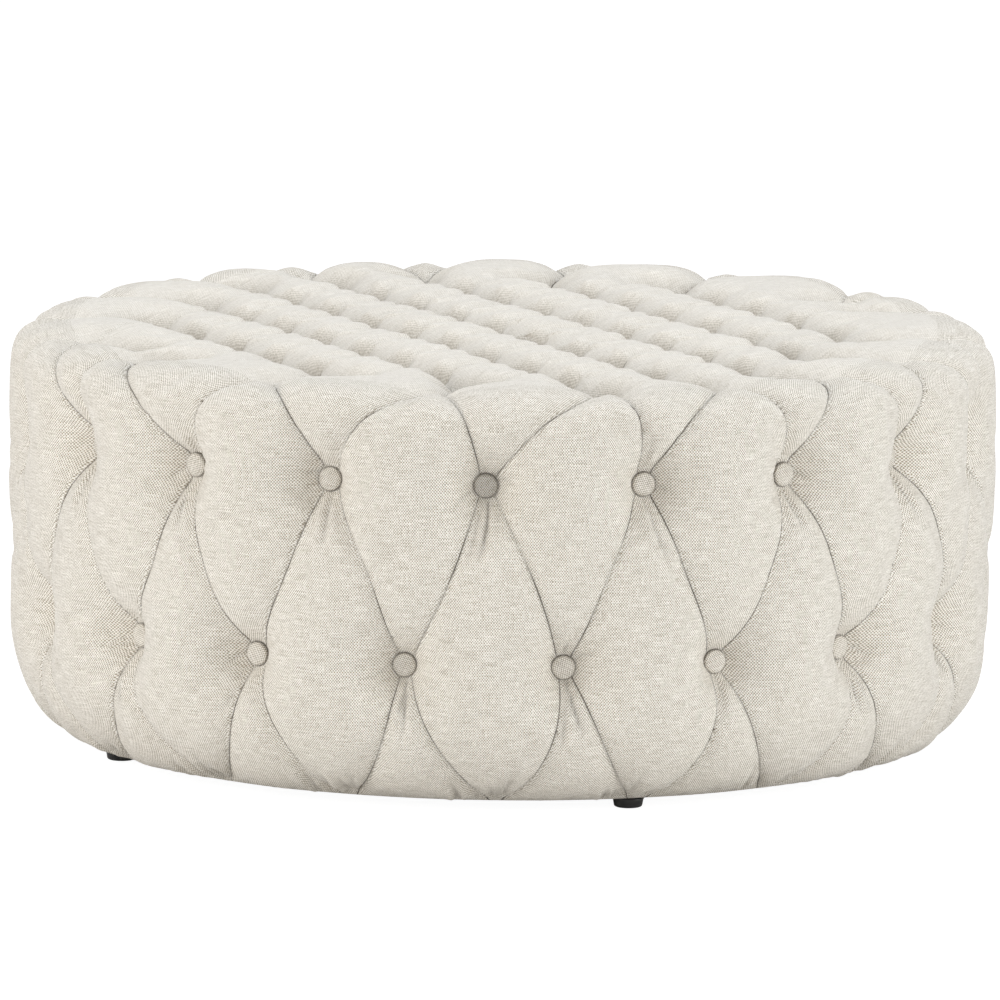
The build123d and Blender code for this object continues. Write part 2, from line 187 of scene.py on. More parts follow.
def linen(name, folds):
    look = linenLook
    finish = Finish(name, Roughness=look["roughness"], Sheen_Weight=0.15, Sheen_Roughness=0.5)
    u, v = finish.weavePlace()
    up, along = 1 / look["weftPitch"], 1 / look["warpPitch"]
    weft = finish.grain(finish.place(u / look["weft"], v * up), 2.0, 0.6) - 0.5
    warp = finish.grain(finish.place(u * along, v / look["warp"], 4.0), 2.0, 0.6) - 0.5
    axes = finish.objectPlace()
    speck = finish.grain(finish.place(*[axis * look["grain"] for axis in axes]), 1.5) - 0.5
    knot = (u * (math.pi * along) + warp * 2.4).sine() * (v * (math.pi * up) + weft * 2.4).sine()
    top = (v - 1.7).held()  # the top's map lies beyond 2
    knot = knot * (1 - top * 0.80)
    weft, warp = weft * (1 - top * 0.6), warp * (1 - top * 0.6)
    cloud = finish.grain(finish.place(u * 9, v * 9, 2.0), 3.0) - 0.5
    share = 0.37 - weft * 1.65 - warp * 1.25 - speck * (1.1 - top * 0.55) - knot * 1.30 + cloud * 0.09
    share = share.held()
    colour = finish.blendColours(share, look["pale"], look["dark"])
    if folds:
        # painted shade, read from the cover's attributes: shadow lines in the pleats' creases, shade in the
        # gap round each button, soft shade beside pleats and in gathers, and shade in the top's hollows
        keys = ("fold", "near", "middle", "gather", "sinkShade")
        marks = [finish.node("Attribute", {"attribute_name": key}) for key in keys]
        fold, near, middle, gather, sinkShade = [finish.out(mark, "Fac") for mark in marks]
        patch = finish.grain(finish.place(axes[0] * 16, axes[1] * 16, axes[2] * 16), 1.0)
        # painted shadow line along each pleat's crease, fainter and stronger by turns along it
        line = (1.6 - abs(fold) / look["foldLine"]).held() * (1.6 - near / 0.0017).held()
        line = line * ((patch - 0.30) * 3.6).held() * 0.92
        # painted shade in the gap round each button
        ring = (1 - (middle - 0.0124) / 0.0014).held()
        # painted soft shade beside the pleats, in the gathers and in the top's hollows
        pleatShade = (1 - near / 0.0065).held()
        shade = (1 - pleatShade * pleatShade * 0.10) * (1 - gather * gather * 0.34) * (1 - sinkShade * 0.16)
        colour = finish.shaded(colour, shade)
        # paints the crease shadow lines and the button-gap shade in the dark shadow colour
        colour = finish.blendColours(line.over(ring * 0.75), colour, look["line"])
    else:
        # the buttons' tone, random for each button, with painted shade at its edge
        tone = finish.out(finish.node("Attribute", {"attribute_name": "tone"}), "Fac")
        colour = finish.shaded(colour, tone)
    finish.colour(colour)
    finish.bump((weft + warp) * 1.4 + knot * 0.55, look["yarnHeight"])
    return finish.material


def ply(name):
    finish = Finish(name, Roughness=0.62)
    x, y, z = finish.objectPlace()
    rings = finish.grain(finish.place(x * 3, y * 38, z * 3), 4.0, 0.6)
    pores = finish.grain(finish.place(x * 40, y * 700, z * 40), 2.0)
    layers = ((z * (2 * math.pi / 0.003)).sine() * 0.5 + 0.5) ** 3
    share = (rings * 1.3 - 0.25 + pores * 0.2 + layers * 0.12).held()
    finish.colour(finish.blendColours(share, (0.66, 0.48, 0.29), (0.40, 0.26, 0.13)))
    finish.bump(rings + pores * 0.4, 0.0004)
    return finish.material


def softwood(name):
    finish = Finish(name, Roughness=0.58)
    x, y, z = finish.objectPlace()
    drift = finish.grain(finish.place(x * 12, y * 12, z * 1.5), 2.0)
    rings = (x * 210 + y * 170 + drift * 9).sine() * 0.5 + 0.5
    fibre = finish.grain(finish.place(x * 420, y * 420, z * 9), 3.0)
    share = (rings * 0.45 + fibre * 0.6 - 0.15).held()
    finish.colour(finish.blendColours(share, (0.74, 0.56, 0.35), (0.52, 0.33, 0.16)))
    finish.bump(fibre, 0.0003)
    return finish.material


def metal(name, tone, roughness):
    finish = Finish(name, Metallic=1.0)
    x, y, z = finish.objectPlace()
    scuff = finish.grain(finish.place(x * 900, y * 900, z * 120), 3.0)
    finish.colour(finish.blendColours(scuff, [t * 0.85 for t in tone], tone))
    finish.feed(scuff * 0.3 + roughness - 0.1, finish.shader.inputs["Roughness"])
    finish.bump(scuff, 0.00008)
    return finish.material


def plastic(name):
    finish = Finish(name, Coat_Weight=0.25, Coat_Roughness=0.25)
    x, y, z = finish.objectPlace()
    pebble = finish.grain(finish.place(x * 1300, y * 1300, z * 1300), 2.0)
    wear = finish.grain(finish.place(x * 60, y * 60, z * 60), 3.0)
    finish.colour(finish.blendColours(wear, (0.010, 0.010, 0.011), (0.022, 0.021, 0.020)))
    finish.feed(wear * 0.25 + 0.22, finish.shader.inputs["Roughness"])
    finish.bump(pebble, 0.00010)
    return finish.material


def foam(name):
    finish = Finish(name, Roughness=0.95)
    x, y, z = finish.objectPlace()
    cells = finish.out(finish.node("TexVoronoi", {}, Vector=finish.place(x, y, z), Scale=620.0), "Distance")
    stain = finish.grain(finish.place(x * 6, y * 6, z * 6), 3.0)
    share = (cells * 0.7 + stain * 0.35 - 0.1).held()
    finish.colour(finish.blendColours(share, (0.90, 0.85, 0.66), (0.74, 0.66, 0.44)))
    finish.bump(cells, 0.0009)
    return finish.material


def blackCloth(name):
    finish = Finish(name, Roughness=0.95)
    x, y, z = finish.objectPlace()
    bonds = (x * 1250).sine() * (y * 1250).sine()
    fibre = finish.grain(finish.place(x * 260, y * 260, z * 260), 4.0, 0.7)
    share = (fibre + bonds * 0.25).held()
    finish.colour(finish.blendColours(share, (0.010, 0.010, 0.011), (0.030, 0.030, 0.031)))
    finish.bump(fibre + bonds * 0.4, 0.0003)
    return finish.material


# The tufting's layout, in metres and degrees, in a frame of its own that is turned at the end

layout = {
    "count": 18,
    "lowerRow": 0.154,
    "upperRow": 0.340,
    "rowPitch": 0.101,
    "stepPitch": 0.088,
    "rimShares": [(0, 4.5), (1, 4.5), (2, 3.5), (3, 2.5), (4, 0.5)],
    "turn": 28,
    "pocketRadius": 0.432,
    "pocketTurns": {8: 0.1, 9: -2.8, 10: -6.7, 11: -4.0, 12: 0.6, 13: 8.0, 14: 4.8},  # from a cell's middle
    "hemRun": (1.15, 0.93),  # share of the way that a cell has closed at the hem, right and left
}
coverShape = {
    "radius": 0.5055,
    "bottom": 0.010,
    "bottomRadius": 0.415,
    "hemRadius": 0.380,
    "lowerRise": 0.130,
    "rimStart": 0.389,
    "rimIn": 0.060,        # the rim's rounding, inwards and up
    "rimUp": 0.0475,
    "rimPower": 0.70,      # 1 is an ellipse, less is squarer
    "topRise": 0.001,
    "seatDome": {"edge": 0.428, "rise": 0.006, "radius": 0.462, "depth": 0.032},
    "columns": 504,
    "spacing": 0.0064,     # between the rings of the first mesh
    "lining": [(0, 0.388), (0.452, 0.388), (0.452, 0.056),
               (0.4255, 0.0315), (0.4255, 0.0125), (0.380, 0.0125)],
}
pitch = 360 / layout["count"]
crestRadius = coverShape["radius"] - coverShape["rimIn"]


def topHeight(radius):
    crest = coverShape["rimStart"] + coverShape["rimUp"]
    return crest + coverShape["topRise"] * (1 - (radius / crestRadius) ** 2)


def seatHeight(radius):
    # of the flats that the top's buttons stand on, which follow the frame's own dome
    dome = coverShape["seatDome"]
    return dome["edge"] + dome["rise"] * (1 - (radius / dome["radius"]) ** 2) - dome["depth"]


def outerOutline(spacing):
    # (radius, height) from the hem's inner edge round the bottom, up the side and over to the top's middle
    c = coverShape
    points = []
    quarter = math.pi / 2
    flat, out = c["bottomRadius"] - c["hemRadius"], c["radius"] - c["bottomRadius"]
    rise, power = c["lowerRise"], c["rimPower"]
    low = c["bottom"] + rise

    def stretch(length, at):
        count = max(2, round(length / spacing))
        points.extend(at(k / count) for k in range(count))

    def belly(t):
        return c["bottomRadius"] + out * math.sin(t * quarter), low - rise * math.cos(t * quarter)

    def rim(t):
        across, up = math.cos(t * quarter) ** power, math.sin(t * quarter) ** power
        return crestRadius + c["rimIn"] * across, c["rimStart"] + c["rimUp"] * up

    stretch(flat, lambda t: (c["hemRadius"] + t * flat, c["bottom"]))
    stretch(0.77 * (out + rise), belly)
    stretch(c["rimStart"] - low, lambda t: (c["radius"], low + t * (c["rimStart"] - low)))
    stretch(0.8 * (c["rimIn"] + c["rimUp"]), rim)
    stretch(crestRadius, lambda t: (crestRadius * (1 - t), topHeight(crestRadius * (1 - t))))
    return points + [(0, topHeight(0))]


fineOutline = np.array(outerOutline(0.002))
outlinePath = np.concatenate([[0], np.cumsum(np.hypot(*np.diff(fineOutline, axis=0).T))])
heart = (0.25, 0.21)       # point inside the outline, from which it is seen all round
outlineAngle = np.unwrap(np.arctan2(fineOutline[:, 1] - heart[1], fineOutline[:, 0] - heart[0]))
outlineTangent = np.gradient(fineOutline, outlinePath, axis=0)


def pathAt(radius, height):
    angle = np.arctan2(np.asarray(height) - heart[1], np.asarray(radius) - heart[0])
    angle = np.where(angle < -2.4, angle + 2 * math.pi, angle)
    return np.interp(angle, outlineAngle, outlinePath)


def onOutline(path):
    return np.interp(path, outlinePath, fineOutline[:, 0]), np.interp(path, outlinePath, fineOutline[:, 1])


def onBody(turn, path):
    radius, height = onOutline(path)
    a = np.radians(turn)
    return np.stack([radius * np.sin(a), radius * np.cos(a), height], axis=-1)


def bodyNormal(turn, path):
    dr = np.interp(path, outlinePath, outlineTangent[:, 0])
    dz = np.interp(path, outlinePath, outlineTangent[:, 1])
    length = np.hypot(dr, dz)
    a = np.radians(turn)
    return np.stack([dz / length * np.sin(a), dz / length * np.cos(a), -dr / length], axis=-1)


def rimPlaces():
    half = layout["rimShares"] + [(row, -step) for row, step in reversed(layout["rimShares"])]
    return half + [(-row, step) for row, step in reversed(half[1:-1])]


def innerPlaces():
    places = []
    for row, last in layout["rimShares"][:-1]:
        for k in range(1, int(2 * last)):
            places.append((row, k - last))
            if row > 0:
                places.append((-row, k - last))
    return places


def flatPlace(place):
    return place[0] * layout["rowPitch"], place[1] * layout["stepPitch"]


def turnAndPath(place):
    x, y = flatPlace(place)
    radius = math.hypot(x, y)
    return math.degrees(math.atan2(x, y)), float(pathAt(radius, topHeight(radius)))


def rimPockets():
    # where a cell's two upper pleats meet, just over the rim
    pockets = []
    for k, place in enumerate(rimPlaces()):
        toButton = (turnAndPath(place)[0] - k * pitch + 180) % 360 - 180
        pockets.append(k * pitch + layout["pocketTurns"].get(k, toButton * 0.5))
    radius = layout["pocketRadius"]
    return pockets, float(pathAt(radius, topHeight(radius)))


buttonForm = {"side": (0.088, 2.4), "rim": (0.054, 2.6), "top": (0.034, 2.2)}  # reach, power
pleatForm = {"side": (0.0060, 0.055, 1), "hem": (0.0050, 0.048, 1), "rim": (0.0085, 0.046, 1),
             "row": (0.0175, 0.050, 0.4), "cross": (0.0135, 0.035, 1)}  # depth, width, darkness of its painted crease shadow line
pleatRun = {  # in degrees round the cover, or as shares
    "bow": (0.7, 0.8), "bowLimits": (-0.6, 2.3), "sideAside": 0.45,
    "rimEase": (1.15, 1.4), "rimAside": 0.7, "rimDeeper": 0.3, "link": 1.3,
    "hemVary": (0.93, 1.07), "hemEase": {-1: (0.95, 1.25), 1: (1.5, 2.1)}, "hemAside": 0.6,
    "crossMiddle": 0.28,
}
lowerPath = float(pathAt(coverShape["radius"], layout["lowerRow"]))
upperPath = float(pathAt(coverShape["radius"], layout["upperRow"]))
hemPath = coverShape["bottomRadius"] - coverShape["hemRadius"]


def sideButtons():
    lower = [(k * pitch, lowerPath) for k in range(layout["count"])]
    upper = [((k + 0.5) * pitch, upperPath) for k in range(layout["count"])]
    return lower, upper


class Network:
    # lines on the body: their points, the way across them and their forms, found again by nearness
    def __init__(self):
        self.points, self.across, self.forms = [], [], []

    def add(self, turns, paths, forms, over=None):
        points = onBody(turns, paths)
        across = np.cross(np.gradient(points, axis=0), bodyNormal(turns, paths))
        across /= np.linalg.norm(across, axis=1)[:, None] + 1e-12
        if over is not None:
            towards = onBody(np.full_like(paths, over), paths) - points
            if (towards * across).sum() < 0:
                across = -across
        self.points.extend(points)
        self.across.extend(across)
        self.forms.extend(forms)

    def finished(self):
        self.tree = kdtree.KDTree(len(self.points))
        for k, point in enumerate(self.points):
            self.tree.insert(Vector(point), k)
        self.tree.balance()
        self.points, self.across = np.array(self.points), np.array(self.across)
        self.forms = np.array(self.forms)
        return self

    def nearest(self, places):
        found = np.array([self.tree.find(place)[1] for place in places.tolist()])
        gap = places - self.points[found]
        return (gap * self.across[found]).sum(axis=1), np.linalg.norm(gap, axis=1), self.forms[found], found


def pleatNetwork():
    net = Network()
    rim = rimPlaces()
    pockets, pocketPath = rimPockets()
    count, run = layout["count"], pleatRun
    t = np.linspace(0, 1, 110)

    def line(start, end, ease, kind, paths, over, out, deeper=0.0):
        # leaves its button a little to one side
        turns = start + (end - start) * t ** ease + out * (1 - t) ** 2
        depth, width, dark = pleatForm[kind]
        depths = depth * (1 + deeper * t ** 2)
        forms = np.stack([depths, np.full_like(t, width), np.full_like(t, dark)], axis=1)
        net.add(turns, paths[0] + (paths[1] - paths[0]) * t, forms, over)

    for k in range(count):
        button, centre = (k + 0.5) * pitch, k * pitch
        for side, lower in ((-1, centre), (1, centre + pitch)):
            least, most = run["bowLimits"]
            bow = min(max(random.gauss(*run["bow"]), least), most)
            turns = button + (lower - button) * t - bow * np.sin(np.pi * t)
            turns += side * run["sideAside"] * np.cos(np.pi * t)
            net.add(turns, upperPath + (lowerPath - upperPath) * t, [pleatForm["side"]] * len(t), lower)
        for side, end in ((-1, k), (1, k + 1)):
            rimTurn = button + (pockets[end % count] - button + 180) % 360 - 180
            ease = random.uniform(*run["rimEase"])
            line(button, rimTurn, ease, "rim", (upperPath, pocketPath), end * pitch,
                 side * run["rimAside"], run["rimDeeper"])
        for side in (-1, 1):
            reach = layout["hemRun"][side > 0] * pitch / 2 * random.uniform(*run["hemVary"])
            ease = random.uniform(*run["hemEase"][side])
            middle = centre + side * pitch / 2
            line(centre, centre + side * reach, ease, "hem", (lowerPath, hemPath - 0.006), middle,
                 side * run["hemAside"])
    places = set(rim) | set(innerPlaces())
    s = np.linspace(0, 1, 46)
    waist = np.abs(2 * s - 1) ** 2

    def straight(start, end, forms):
        x, y = start[0] + (end[0] - start[0]) * s, start[1] + (end[1] - start[1]) * s
        radius = np.hypot(x, y)
        net.add(np.degrees(np.arctan2(x, y)), pathAt(radius, topHeight(radius)), forms)

    depth, width, dark = pleatForm["rim"]
    for turn, place in zip(pockets, rim):
        a = math.radians(turn)
        start = layout["pocketRadius"] * math.sin(a), layout["pocketRadius"] * math.cos(a)
        straight(start, flatPlace(place), [(depth * run["link"], width, dark)] * len(s))
    for row, step in sorted(places):
        for other, kind in (((row, step + 1), "row"), ((row + 1, step), "cross")):
            both = (row, step) in rim and other in rim
            near = both and abs(rim.index((row, step)) - rim.index(other)) in (1, count - 1)
            if other not in places or near:
                continue
            depth, width, dark = pleatForm[kind]
            middle = run["crossMiddle"]
            share = np.ones_like(s) if kind == "row" else middle + (1 - middle) * waist
            forms = np.stack([depth * share, np.full_like(s, width), dark * share], axis=1)
            straight(flatPlace((row, step)), flatPlace(other), forms)
    return net.finished()


def buttonNetwork():
    net = Network()
    lower, upper = sideButtons()
    rows = [(turn, path, "side", coverShape["radius"] - 0.4603) for turn, path in lower + upper]
    for places, kind in ((rimPlaces(), "rim"), (innerPlaces(), "top")):
        for place in places:
            radius = math.hypot(*flatPlace(place))
            rows.append((*turnAndPath(place), kind, topHeight(radius) - seatHeight(radius)))
    for turn, path, kind, limit in rows:
        net.add(np.array([turn, turn + 0.01]), np.array([path, path]), [(limit, *buttonForm[kind])] * 2)
    return net.finished()


gatherLook = {"depth": 0.0050, "width": 0.0031, "long": (0.030, 0.078), "short": (0.014, 0.030),
              "hemLong": (0.050, 0.105), "hemShort": (0.012, 0.040), "hemDepth": 0.0046}


def gatherNetwork():
    net = Network()
    look = gatherLook
    t = np.linspace(0, 1, 40)

    def line(turn, path, heading, length, depth, bend=0.0, width=1.0, start=0.012):
        radius = float(onOutline(path)[0])
        heading = math.radians(heading) + bend * t
        reach = start + length * t
        fade = np.sin(np.pi * (t * 0.8 + 0.2)) ** 0.8
        turns = turn + np.degrees(np.sin(heading) * reach / max(radius, 0.03))
        widths = look["width"] * width * (0.6 + 0.9 * t)
        net.add(turns, path + np.cos(heading) * reach, np.stack([depth * fade, widths], axis=1))

    lower, upper = sideButtons()
    for places, low in ((lower, True), (upper, False)):
        for turn, path in places:
            for k in range(random.choice((1, 2, 2) if low else (1, 1, 2))):
                length = random.uniform(*look["long"])
                line(turn, path, 180 + random.uniform(-13, 13), length,
                     look["depth"] * random.uniform(0.7, 1.15), random.uniform(-0.28, 0.28))
            for k in range(random.choice((0, 1, 1))):
                line(turn, path, random.uniform(-11, 11), random.uniform(0.020, 0.045),
                     look["depth"] * 0.7, random.uniform(-0.3, 0.3))
            for k in range(random.choice((1, 2, 3))):
                side = random.choice((-1, 1))
                length = random.uniform(*look["short"])
                line(turn, path, side * random.uniform(35, 140), length,
                     look["depth"] * random.uniform(0.4, 0.8), side * 0.4, 0.8)
    for places in (rimPlaces(), innerPlaces()):
        for place in places:
            turn, path = turnAndPath(place)
            for k in range(2):
                line(turn, path, random.uniform(0, 360), random.uniform(*look["short"]),
                     look["depth"] * 0.5, 0, 0.9)
    for k in range(layout["count"]):
        centre = (k + 0.5) * pitch
        for spot in (random.uniform(-1, 1) for _ in range(5)):
            line(centre + 0.8 + spot * 3.2, hemPath - 0.016, spot * 9, random.uniform(*look["hemLong"]),
                 look["hemDepth"] * random.uniform(0.5, 1.0), 0, 1.1)
        for spot in (random.uniform(-1, 1) for _ in range(3)):
            line(k * pitch + spot * 5, hemPath - 0.020, spot * 6, random.uniform(*look["hemShort"]),
                 look["hemDepth"] * 0.4)
    return net.finished()


pleats, buttons, gathers = pleatNetwork(), buttonNetwork(), gatherNetwork()
print("stage: tufting laid out", len(pleats.points), "points")


def meshPoints(mesh):
    values = np.empty(len(mesh.vertices) * 3)
    mesh.vertices.foreach_get("co", values)
    return values.reshape(-1, 3)


def setPoints(mesh, points):
    mesh.vertices.foreach_set("co", points.ravel())
    mesh.update()


def keepAttribute(mesh, name, values, kind="FLOAT"):
    flat = np.ascontiguousarray(values, dtype=np.float32).ravel()
    mesh.attributes.new(name, kind, "POINT").data.foreach_set("value" if kind == "FLOAT" else "vector", flat)


def readAttribute(mesh, name):
    values = np.empty(len(mesh.vertices) * 3, dtype=np.float32)
    mesh.attributes[name].data.foreach_get("vector", values)
    return values.reshape(-1, 3).astype(float)


def spun(outline, steps, closed=False):
    # a bmesh of an outline of (radius, height) turned once round the upright axis
    bm = bmesh.new()
    verts = [bm.verts.new((r, 0, z)) for r, z in outline]
    for a, b in zip(verts, verts[1:] + (verts[:1] if closed else [])):
        bm.edges.new((a, b))
    bmesh.ops.spin(bm, geom=bm.verts[:] + bm.edges[:], cent=(0, 0, 0), axis=(0, 0, 1), dvec=(0, 0, 0),
                   angle=2 * math.pi, steps=steps, use_merge=True, use_duplicate=False)
    bmesh.ops.remove_doubles(bm, verts=bm.verts[:], dist=1e-6)
    bmesh.ops.recalc_face_normals(bm, faces=bm.faces[:])
    return bm


def made(bm, name, material, slot):
    mesh = bpy.data.meshes.new(name)
    bm.to_mesh(mesh)
    bm.free()
    for polygon in mesh.polygons:
        polygon.use_smooth = True
    mesh.materials.append(material)
    piece = bpy.data.objects.new(name, mesh)
    scene.collection.objects.link(piece)
    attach(piece, "root")
    return piece


tuft = {
    "seat": 0.0140,        # half width of the flat seat under a button
    "lip": 0.0022,         # rounding of a cell towards its pleat
    "lipReach": 0.014,
    "swell": 0.0022,       # slow unevenness of the filling
    "step": 0.0012,        # half the height of the upper layer at a pleat
    "groove": 0.0024,
    "snap": 0.0021,
    "hemFlat": 0.0115,     # stays flat from the bottom's edge up
    "hemFade": 0.014,
    "holdPleat": 0.003,    # the cloth is held this near to a pleat
    "holdButton": 0.016,   # and to a button's middle
    "holdFade": 0.008,
    "sinkDepth": 0.018,    # under the crown, where the top's painted shade is full
    "sinkFade": 0.02,
    "stepReach": 0.0065,
    "gatherLip": (0.45, 2.1, 1.1),  # height, place and width of the lips beside a gather
}
clothRun = {
    "frames": 18,
    "pressure": 4.0,
    "shrink": -0.02,       # less than zero lets the cloth grow, so that it has room to swell
    "cap": 0.0048,         # furthest that it may swell
    "quality": 4,
    "mass": 0.25,
    "stretch": 20,
    "shear": 8,
    "bending": 0.6,
    "damping": 12,
}


def ownPlaces(rest):
    # turn and path of points of the undented form, and which of them are on its outside
    radius, turn = np.hypot(rest[:, 0], rest[:, 1]), np.degrees(np.arctan2(rest[:, 0], rest[:, 1]))
    limit = np.interp(rest[:, 2], [0, 0.0315, 0.056, 0.388], [0.4275, 0.4275, 0.4535, 0.4535])
    inner = (rest[:, 2] < 0.3885) & (radius < limit) & ((rest[:, 2] > 0.0112) | (radius < 0.4))
    return turn, pathAt(radius, rest[:, 2]), ~inner


def broadDepth(rest):
    # how far the cover lies under its crowns, from its pleats and buttons
    _, pleatGap, form, _ = pleats.nearest(rest)
    depth = form[:, 0] * (1 - np.clip(pleatGap / form[:, 1], 0, 1)) ** 2.2
    y = np.clip(pleatGap / tuft["lipReach"], 0, 1)
    depth += tuft["lip"] * (1 - np.sqrt(1 - (1 - y) ** 2)) * (0.4 + 0.6 * form[:, 2])
    _, gap, form, _ = buttons.nearest(rest)
    x = np.clip((gap - tuft["seat"]) / (form[:, 1] - tuft["seat"]), 0, 1)
    depth += (form[:, 0] - 0.008) * (1 - x) ** form[:, 2]
    depth += tuft["swell"] * np.array([noise.noise(Vector(place) * 15) for place in rest.tolist()])
    depth = np.minimum(depth, form[:, 0])
    depth[gap < tuft["seat"]] = form[gap < tuft["seat"], 0]
    return depth, pleatGap, gap


def coverPiece():
    bm = spun(outerOutline(coverShape["spacing"]) + coverShape["lining"], coverShape["columns"])
    ends = [e for e in bm.edges if e.is_boundary]
    bmesh.ops.bridge_loops(bm, edges=ends)
    bmesh.ops.recalc_face_normals(bm, faces=bm.faces[:])
    piece = made(bm, "cover", linen("pleated linen", True), "linen")
    mesh = piece.data
    rest = meshPoints(mesh)
    keepAttribute(mesh, "rest", rest, "FLOAT_VECTOR")
    turn, path, outer = ownPlaces(rest)
    depth, held = np.zeros(len(rest)), np.ones(len(rest))
    depth[outer], pleatGap, buttonGap = broadDepth(rest[outer])
    fade = np.clip((path - hemPath - tuft["hemFlat"]) / tuft["hemFade"], 0, 1)
    atPleats = np.clip(1 - (pleatGap - tuft["holdPleat"]) / tuft["holdFade"], 0, 1)
    atButtons = np.clip(1 - (buttonGap - tuft["holdButton"]) / tuft["holdFade"], 0, 1)
    held[outer] = np.maximum(atPleats, atButtons)
    held = np.maximum(held, 1 - fade)
    crest = float(pathAt(crestRadius, topHeight(crestRadius)))
    onTop = np.clip((path - crest) / tuft["sinkFade"], 0, 1)
    # painted shade in the top's hollows, darker the deeper the cover lies under its crowns
    keepAttribute(mesh, "sinkShade", np.clip(depth / tuft["sinkDepth"], 0, 1) * onTop)
    setPoints(mesh, rest - bodyNormal(turn, path) * (depth * fade * outer)[:, None])
    print("stage: cover shaped", len(mesh.vertices), "points")
    puffed(piece, held)
    refined(piece)
    detailed(piece)
    return piece


def puffed(piece, held):
    # the cover blown out between its buttons and pleats, and held at them
    mesh = piece.data
    before = meshPoints(mesh)
    group = piece.vertex_groups.new(name="held")
    for level in range(1, 6):
        chosen = np.nonzero(np.ceil(held * 5 - 1e-6) == level)[0]
        group.add(chosen.tolist(), level / 5, "REPLACE")
    cloth = piece.modifiers.new("cloth", "CLOTH")
    own = cloth.settings
    own.quality = clothRun["quality"]
    own.mass = clothRun["mass"]
    own.tension_stiffness = own.compression_stiffness = clothRun["stretch"]
    own.shear_stiffness = clothRun["shear"]
    own.bending_stiffness = clothRun["bending"]
    own.tension_damping = own.compression_damping = clothRun["damping"]
    own.use_pressure = True
    own.uniform_pressure_force = clothRun["pressure"]
    own.shrink_min = own.shrink_max = clothRun["shrink"]
    own.vertex_group_mass = "held"
    own.effector_weights.gravity = 0
    cloth.collision_settings.use_collision = False
    cloth.collision_settings.use_self_collision = False
    cloth.point_cache.frame_start, cloth.point_cache.frame_end = 1, clothRun["frames"]
    for moment in range(1, clothRun["frames"] + 1):
        scene.frame_set(moment)
    evaluated = piece.evaluated_get(bpy.context.evaluated_depsgraph_get())
    after = meshPoints(evaluated.data)
    piece.modifiers.clear()
    piece.vertex_groups.clear()
    scene.frame_set(1)
    move = after - before
    length = np.linalg.norm(move, axis=1)
    allowed = clothRun["cap"] * np.tanh(length / clothRun["cap"])
    setPoints(mesh, before + move * (allowed / (length + 1e-12))[:, None])
    print("stage: cover puffed by", round(float(length.mean()) * 1000, 2), "mm on average")


def refined(piece):
    # one level of subdivision, applied
    level = piece.modifiers.new("finer", "SUBSURF")
    level.levels = level.render_levels = 1
    level.boundary_smooth = "PRESERVE_CORNERS"
    bpy.context.view_layer.update()
    evaluated = piece.evaluated_get(bpy.context.evaluated_depsgraph_get())
    mesh = bpy.data.meshes.new_from_object(evaluated)
    old, piece.data = piece.data, mesh
    piece.modifiers.clear()
    bpy.data.meshes.remove(old)
    mesh.name = piece.name
    print("stage: cover refined", len(mesh.polygons), "faces")


def detailed(piece):
    # creases in the pleats, gathers round buttons and at the hem, and the weave's own map
    mesh = piece.data
    points, rest = meshPoints(mesh), readAttribute(mesh, "rest")
    turn, path, outer = ownPlaces(rest)
    normal = bodyNormal(turn, path)
    marks = {"fold": np.full(len(rest), 0.012), "near": np.full(len(rest), 0.05),
             "middle": np.full(len(rest), 0.05), "gather": np.zeros(len(rest))}
    places = rest[outer]
    side, gap, form, found = pleats.nearest(places)
    _, middle, _, _ = buttons.nearest(places)
    _, gatherGap, gatherForm, _ = gathers.nearest(places)
    clear = np.clip((middle - tuft["seat"]) / 0.004, 0, 1)
    clear *= np.clip((path[outer] - hemPath - tuft["hemFlat"]) / 0.008, 0, 1)
    snapped = (np.abs(side) < tuft["snap"]) & (gap < 0.004) & (middle > tuft["seat"] + 0.001)
    shift = np.where(snapped[:, None], -pleats.across[found] * side[:, None], 0)
    side = np.where(snapped, 0, side)
    depth = np.where(side > 0, -tuft["step"], tuft["step"]) * np.exp(-np.abs(side) / tuft["stepReach"])
    depth = np.where(snapped, tuft["groove"], depth)
    x = gatherGap / gatherForm[:, 1]
    away = np.clip((gap - 0.002) / 0.006, 0.15, 1)
    valley = np.exp(-x ** 2) * away
    lip, lipPlace, lipWidth = tuft["gatherLip"]
    depth += gatherForm[:, 0] * (valley - lip * np.exp(-((x - lipPlace) / lipWidth) ** 2) * away)
    points[outer] += shift - normal[outer] * (depth * clear)[:, None]
    setPoints(mesh, points)
    # attributes from which the material paints shade: crease shadow lines, the gap round each button and the
    # gathers' shade
    marks["fold"][outer] = np.clip(side, -0.012, 0.012)
    marks["near"][outer] = np.where(snapped, 0, gap) + (1 - form[:, 2]) * 0.003
    marks["middle"][outer] = np.minimum(middle, 0.05)
    marks["gather"][outer] = valley * clear * gatherForm[:, 0] / gatherLook["depth"]
    for key, values in marks.items():
        keepAttribute(mesh, key, values)
    mesh.attributes.remove(mesh.attributes["rest"])
    weaveMap(mesh, rest, turn, path)
    bm = bmesh.new()
    bm.from_mesh(mesh)
    askew = Matrix.Rotation(math.radians(layout["turn"]), 3, "Z")
    bmesh.ops.rotate(bm, verts=bm.verts[:], cent=(0, 0, 0), matrix=askew)
    bm.to_mesh(mesh)
    bm.free()
    print("stage: cover detailed")


